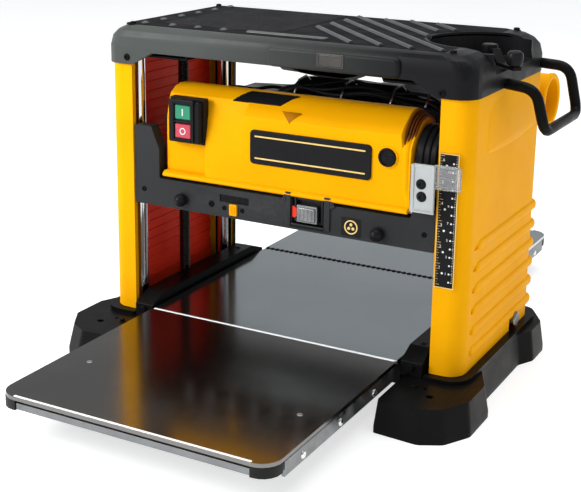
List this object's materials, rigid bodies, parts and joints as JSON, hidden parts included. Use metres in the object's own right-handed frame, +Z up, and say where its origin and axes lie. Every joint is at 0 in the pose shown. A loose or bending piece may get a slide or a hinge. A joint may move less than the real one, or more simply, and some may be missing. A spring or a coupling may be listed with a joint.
{
  "type": "thickness planer",
  "caption": "Portable thickness planer: a motor-driven cutterhead carriage on guide columns, raised by a crank over a steel table with folding extension tables.",
  "frame": {"origin": "on the bench under the middle of the machine's box", "axes": "+X to the crank side, +Y along the feed from the infeed table to the outfeed table, +Z up"},
  "size_m": [0.613, 0.9, 0.427],
  "materials": {
    "yellow_plastic": "satin",
    "black_plastic": "matte",
    "black_paint": "satin",
    "dark_grey_paint": "satin",
    "polished_steel": "polished",
    "zinc_steel": "satin",
    "chrome": "polished",
    "rubber": "matte",
    "green_plastic": "satin",
    "red_plastic": "satin",
    "clear_acrylic": "clear"
  },
  "bodies": {
    "base": {"base_foot_left": "black_paint", "base_foot_right": "black_paint", "table_bed": "black_paint", "main_table": "polished_steel", "side_rail_left": "black_paint", "side_rail_right": "black_paint", "column_front_left": "chrome", "column_front_right": "chrome", "column_rear_left": "chrome", "column_rear_right": "chrome", "housing_left": "yellow_plastic", "housing_right": "yellow_plastic", "depth_scale": "black_plastic", "top_frame": "black_paint", "top_cover": "black_plastic", "sync_chain": "zinc_steel", "carry_handle_left": "black_paint", "carry_handle_right": "black_paint"},
    "right_screw": {"lead_screw_right": "chrome", "screw_sprocket_right": "zinc_steel", "crank_arm": "dark_grey_paint"},
    "left_screw": {"lead_screw_left": "chrome", "screw_sprocket_left": "zinc_steel"},
    "crank_grip": {"crank_knob": "black_plastic"},
    "turret": {"turret_knob": "zinc_steel"},
    "infeed_wing": {"infeed_table": "polished_steel", "infeed_tray": "zinc_steel", "infeed_corner_cap_left": "rubber", "infeed_corner_cap_right": "rubber"},
    "outfeed_wing": {"outfeed_table": "polished_steel", "outfeed_tray": "zinc_steel", "outfeed_corner_cap_left": "rubber", "outfeed_corner_cap_right": "rubber"},
    "carriage": {"carriage_casting": "dark_grey_paint", "motor_body": "dark_grey_paint", "drive_belt": "rubber", "motor_cover": "yellow_plastic", "motor_end_cap": "black_plastic", "switch_box": "black_plastic", "brush_cap": "black_plastic", "name_plate": "black_plastic", "index_tab": "yellow_plastic", "beam_cap_left": "black_plastic", "beam_cap_right": "black_plastic", "pointer_bracket": "zinc_steel", "pointer_window": "clear_acrylic", "chip_chute": "black_plastic", "dust_hood": "yellow_plastic"},
    "cutter": {"cutterhead": "polished_steel", "knife_a": "chrome", "knife_b": "chrome", "cutterhead_pulley": "dark_grey_paint"},
    "motor_drive": {"motor_pulley": "dark_grey_paint"},
    "infeed_roll": {"infeed_roller": "rubber"},
    "outfeed_roll": {"outfeed_roller": "rubber"},
    "pawls": {"kickback_pawls": "zinc_steel"},
    "start": {"start_button": "green_plastic"},
    "stop": {"stop_button": "red_plastic"},
    "gauge": {"gauge_block": "zinc_steel"}
  },
  "joints": [
    {"name": "crank_turn", "type": "hinge", "parent": "base", "child": "right_screw", "pos_m": [0.218, -0.006, 0.2], "axis": [0, 0, -1], "range_deg": [-13865, 2705]},
    {"name": "left_screw_turn", "type": "hinge", "parent": "base", "child": "left_screw", "pos_m": [-0.218, -0.006, 0.2], "axis": [0, 0, -1], "range_deg": [-13865, 2705]},
    {"name": "carriage_lift", "type": "slide", "parent": "base", "child": "carriage", "axis": [0, 0, 1], "range_m": [-0.1222, 0.0238]},
    {"name": "crank_grip_spin", "type": "hinge", "parent": "right_screw", "child": "crank_grip", "pos_m": [0.26259, -0.04615, 0.41], "axis": [0, 0, 1], "continuous": true},
    {"name": "turret_turn", "type": "hinge", "parent": "base", "child": "turret", "pos_m": [0.246, 0.056, 0.057], "axis": [1, 0, 0], "continuous": true},
    {"name": "infeed_fold", "type": "hinge", "parent": "base", "child": "infeed_wing", "pos_m": [0, -0.173, 0.045], "axis": [-1, 0, 0], "range_deg": [0, 90]},
    {"name": "outfeed_fold", "type": "hinge", "parent": "base", "child": "outfeed_wing", "pos_m": [0, 0.173, 0.045], "axis": [1, 0, 0], "range_deg": [0, 70]},
    {"name": "cutter_spin", "type": "hinge", "parent": "carriage", "child": "cutter", "pos_m": [0, -0.004, 0.2105], "axis": [1, 0, 0], "continuous": true},
    {"name": "motor_spin", "type": "hinge", "parent": "carriage", "child": "motor_drive", "pos_m": [-0.1755, -0.088, 0.3], "axis": [1, 0, 0], "continuous": true},
    {"name": "infeed_roll_spin", "type": "hinge", "parent": "carriage", "child": "infeed_roll", "pos_m": [0, -0.062, 0.1984], "axis": [1, 0, 0], "continuous": true},
    {"name": "outfeed_roll_spin", "type": "hinge", "parent": "carriage", "child": "outfeed_roll", "pos_m": [0, 0.054, 0.1984], "axis": [1, 0, 0], "continuous": true},
    {"name": "pawl_swing", "type": "hinge", "parent": "carriage", "child": "pawls", "pos_m": [0, -0.1, 0.214], "axis": [1, 0, 0], "range_deg": [0, 30]},
    {"name": "start_press", "type": "slide", "parent": "carriage", "child": "start", "axis": [0, 1, 0], "range_m": [0, 0.003], "stiffness_N_per_m": 500},
    {"name": "stop_press", "type": "slide", "parent": "carriage", "child": "stop", "axis": [0, 1, 0], "range_m": [0, 0.003], "stiffness_N_per_m": 500},
    {"name": "gauge_lift", "type": "slide", "parent": "carriage", "child": "gauge", "axis": [0, 0, 1], "range_m": [0, 0.004], "stiffness_N_per_m": 500, "springref_m": -0.001}
  ],
  "couplings": [
    {"joint": "crank_turn", "follows": "carriage_lift", "rad_per_m": 1979},
    {"joint": "left_screw_turn", "follows": "carriage_lift", "rad_per_m": 1979},
    {"joint": "motor_spin", "follows": "cutter_spin", "ratio": 1.1429},
    {"joint": "infeed_roll_spin", "follows": "cutter_spin", "ratio": -0.009},
    {"joint": "outfeed_roll_spin", "follows": "cutter_spin", "ratio": -0.009}
  ]
}
